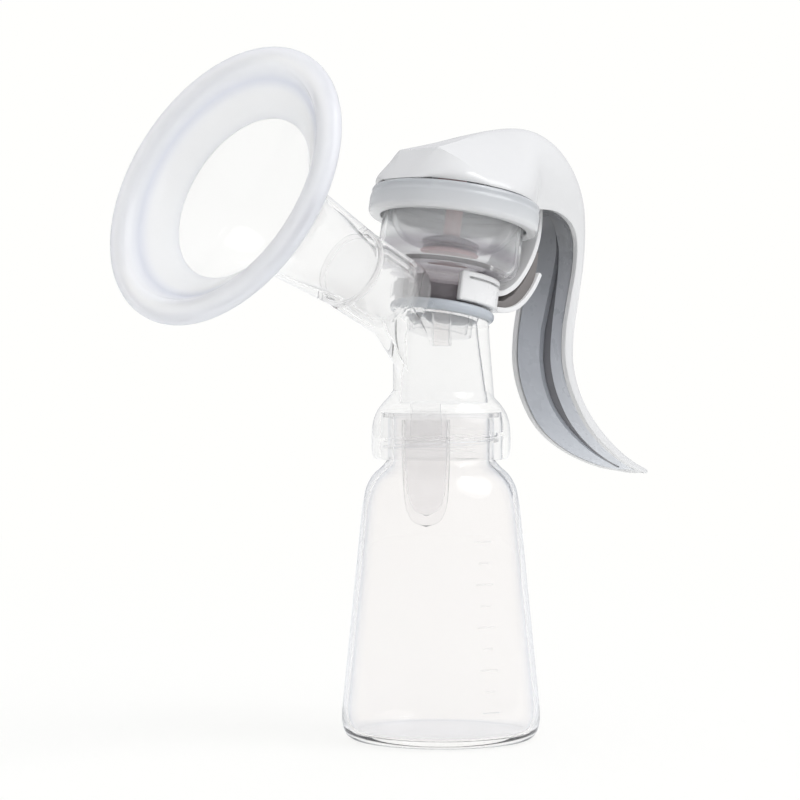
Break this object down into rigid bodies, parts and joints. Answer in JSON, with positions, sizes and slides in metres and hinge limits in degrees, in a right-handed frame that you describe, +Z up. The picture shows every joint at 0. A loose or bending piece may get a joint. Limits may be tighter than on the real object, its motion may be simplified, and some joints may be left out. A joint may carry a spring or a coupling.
{
  "type": "manual breast pump",
  "caption": "Manual breast pump: clear tapered bottle, screw-on pump body, soft-lipped funnel, diaphragm cup and swan-neck squeeze handle.",
  "frame": {"origin": "centre of the bottle's flat base, on the surface it stands on", "axes": "+Z up along the bottle's axis, the funnel points towards -X and upwards, the handle hangs on the +X side, and the XZ plane is the plane of symmetry"},
  "size_m": [0.203, 0.0858, 0.2023],
  "materials": {
    "clear_plastic": "gloss",
    "frosted_plastic": "satin",
    "soft_silicone": "satin",
    "seal_silicone": "satin",
    "white_plastic": "gloss",
    "grey_grip": "matte"
  },
  "bodies": {
    "bottle": {"bottle": "clear_plastic"},
    "seal": {"bottle_seal": "seal_silicone"},
    "head": {"pump_body": "clear_plastic", "seat_gasket": "seal_silicone", "cylinder_cup": "frosted_plastic", "rim_ring": "frosted_plastic", "diaphragm": "soft_silicone", "hinge_bracket": "white_plastic", "hinge_pin": "white_plastic"},
    "valve": {"duckbill_valve": "soft_silicone"},
    "shield": {"breast_shield": "clear_plastic", "shield_seal": "soft_silicone"},
    "cushion": {"massage_cushion": "soft_silicone"},
    "stem": {"pull_stem": "white_plastic", "clamp_disc": "white_plastic", "stem_pin": "white_plastic"},
    "handle": {"handle_shell": "white_plastic", "handle_liner": "grey_grip", "lever_yoke": "grey_grip"}
  },
  "joints": [
    {"name": "head_lift", "type": "slide", "parent": "bottle", "child": "seal", "axis": [0, 0, 1], "range_m": [0, 0.004]},
    {"name": "head_unscrew", "type": "hinge", "parent": "seal", "child": "head", "pos_m": [0, 0, 0.09], "axis": [0, 0, 1], "range_deg": [0, 360]},
    {"name": "shield_pull", "type": "slide", "parent": "head", "child": "shield", "axis": [-0.915, 0, 0.4035], "range_m": [0, 0.022]},
    {"name": "cushion_peel", "type": "slide", "parent": "shield", "child": "cushion", "axis": [-0.915, 0, 0.4035], "range_m": [0, 0.03]},
    {"name": "valve_pull", "type": "slide", "parent": "head", "child": "valve", "axis": [0, 0, -1], "range_m": [0, 0.012]},
    {"name": "handle_squeeze", "type": "hinge", "parent": "head", "child": "handle", "pos_m": [0.038, 0, 0.166], "axis": [0, 1, 0], "range_deg": [0, 20], "stiffness_Nm_per_rad": 0.8, "springref_deg": -1.72},
    {"name": "stem_lift", "type": "slide", "parent": "head", "child": "stem", "axis": [0.1891, 0, 0.982], "range_m": [0, 0.0105], "deforming": ["diaphragm"]}
  ],
  "couplings": [
    {"joint": "head_lift", "follows": "head_unscrew", "m_per_rad": 0.00063662},
    {"joint": "stem_lift", "follows": "handle_squeeze", "m_per_rad": 0.0298}
  ]
}
